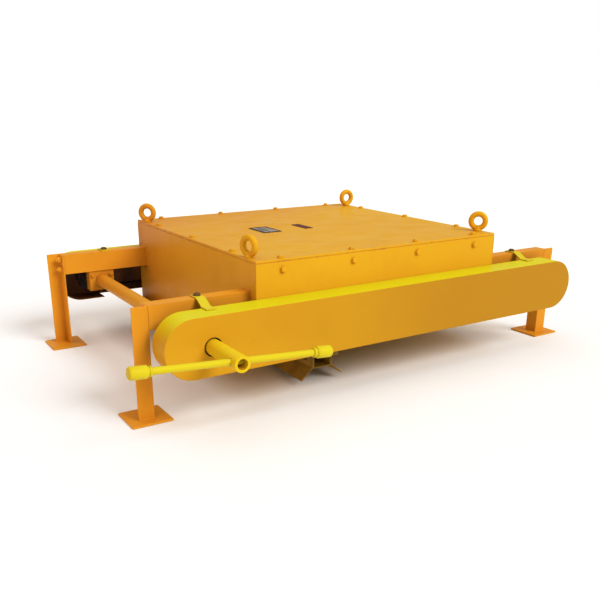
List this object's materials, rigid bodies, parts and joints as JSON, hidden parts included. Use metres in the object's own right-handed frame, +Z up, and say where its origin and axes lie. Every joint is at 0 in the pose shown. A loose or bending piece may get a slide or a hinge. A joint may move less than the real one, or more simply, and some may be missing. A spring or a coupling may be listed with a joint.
{
  "type": "suspended permanent magnet separator with hand-cranked scraper",
  "caption": "Suspended square permanent lifting magnet in a steel box on angle legs, with eyebolts and a hand crank whose chains drive a scraper along the magnet's underside.",
  "frame": {"origin": "middle of the whole object's footprint, on the floor plane under the feet", "axes": "+X along the chain guards, away from the crank end; +Y from the crank side to the rear; +Z up"},
  "size_m": [1.9097, 1.329, 0.519],
  "materials": {
    "enamel_yellow": "semi-gloss industrial enamel, worn on the edges",
    "scraper_olive": "dull, dirty paint",
    "chain_steel": "oiled dark steel",
    "zinc_steel": "worn yellow paint over steel",
    "dark_bolt": "blackened steel",
    "yoke_steel": "mill finish",
    "ferrite": "matt ceramic ferrite",
    "black_rubber": "matt",
    "plate_black": "satin",
    "plate_red": "satin"
  },
  "bodies": {
    "frame": {"magnet_housing": "enamel_yellow", "top_cover": "enamel_yellow", "wear_plate": "enamel_yellow", "chain_guard_front": "enamel_yellow", "chain_guard_rear": "enamel_yellow", "eyebolt_fl": "enamel_yellow", "rail_arm_fl": "enamel_yellow", "leg_fl": "enamel_yellow", "foot_plate_fl": "enamel_yellow", "bearing_fl": "enamel_yellow", "eyebolt_fr": "enamel_yellow", "rail_arm_fr": "enamel_yellow", "leg_fr": "enamel_yellow", "foot_plate_fr": "enamel_yellow", "bearing_fr": "enamel_yellow", "eyebolt_rl": "enamel_yellow", "rail_arm_rl": "enamel_yellow", "leg_rl": "enamel_yellow", "foot_plate_rl": "enamel_yellow", "bearing_rl": "enamel_yellow", "eyebolt_rr": "enamel_yellow", "rail_arm_rr": "enamel_yellow", "leg_rr": "enamel_yellow", "foot_plate_rr": "enamel_yellow", "bearing_rr": "enamel_yellow", "cover_gasket": "black_rubber", "back_yoke": "yoke_steel", "magnet_bank_1": "ferrite", "magnet_bank_2": "ferrite", "magnet_bank_3": "ferrite", "magnet_bank_4": "ferrite", "magnet_bank_5": "ferrite", "magnet_bank_6": "ferrite", "guard_strap_fl": "zinc_steel", "strap_bolt_fl": "dark_bolt", "guard_strap_fr": "zinc_steel", "strap_bolt_fr": "dark_bolt", "guard_strap_rl": "zinc_steel", "strap_bolt_rl": "dark_bolt", "guard_strap_rr": "zinc_steel", "strap_bolt_rr": "dark_bolt", "chain_front": "chain_steel", "chain_rear": "chain_steel", "data_plate": "plate_black", "warning_plate": "plate_red"},
    "drive": {"drive_shaft": "enamel_yellow", "sprocket_drive_front": "chain_steel", "sprocket_drive_rear": "chain_steel"},
    "tommy": {"tommy_bar": "enamel_yellow", "grip_left": "enamel_yellow", "grip_right": "enamel_yellow"},
    "idler": {"idler_shaft": "enamel_yellow", "sprocket_idler_front": "chain_steel", "sprocket_idler_rear": "chain_steel"},
    "scraper": {"scraper_beam": "scraper_olive", "scraper_skirt_left": "scraper_olive", "scraper_skirt_right": "scraper_olive", "scraper_wiper": "black_rubber", "scraper_hanger_front": "scraper_olive", "scraper_hanger_rear": "scraper_olive"}
  },
  "joints": [
    {"name": "crank_turn", "type": "hinge", "parent": "frame", "child": "drive", "pos_m": [-0.64865, 0.0875, 0.238], "axis": [0, -1, 0], "range_deg": [-313, 788]},
    {"name": "bar_slide", "type": "slide", "parent": "drive", "child": "tommy", "axis": [0.9971, 0, -0.0767], "range_m": [-0.21, 0.21]},
    {"name": "idler_turn", "type": "hinge", "parent": "frame", "child": "idler", "pos_m": [0.73135, 0.0875, 0.238], "axis": [0, -1, 0], "range_deg": [-314, 789]},
    {"name": "scraper_slide", "type": "slide", "parent": "frame", "child": "scraper", "axis": [1, 0, 0], "range_m": [-0.313, 0.787]}
  ],
  "couplings": [
    {"joint": "scraper_slide", "follows": "crank_turn", "m_per_rad": 0.057073},
    {"joint": "idler_turn", "follows": "crank_turn", "ratio": 1}
  ]
}
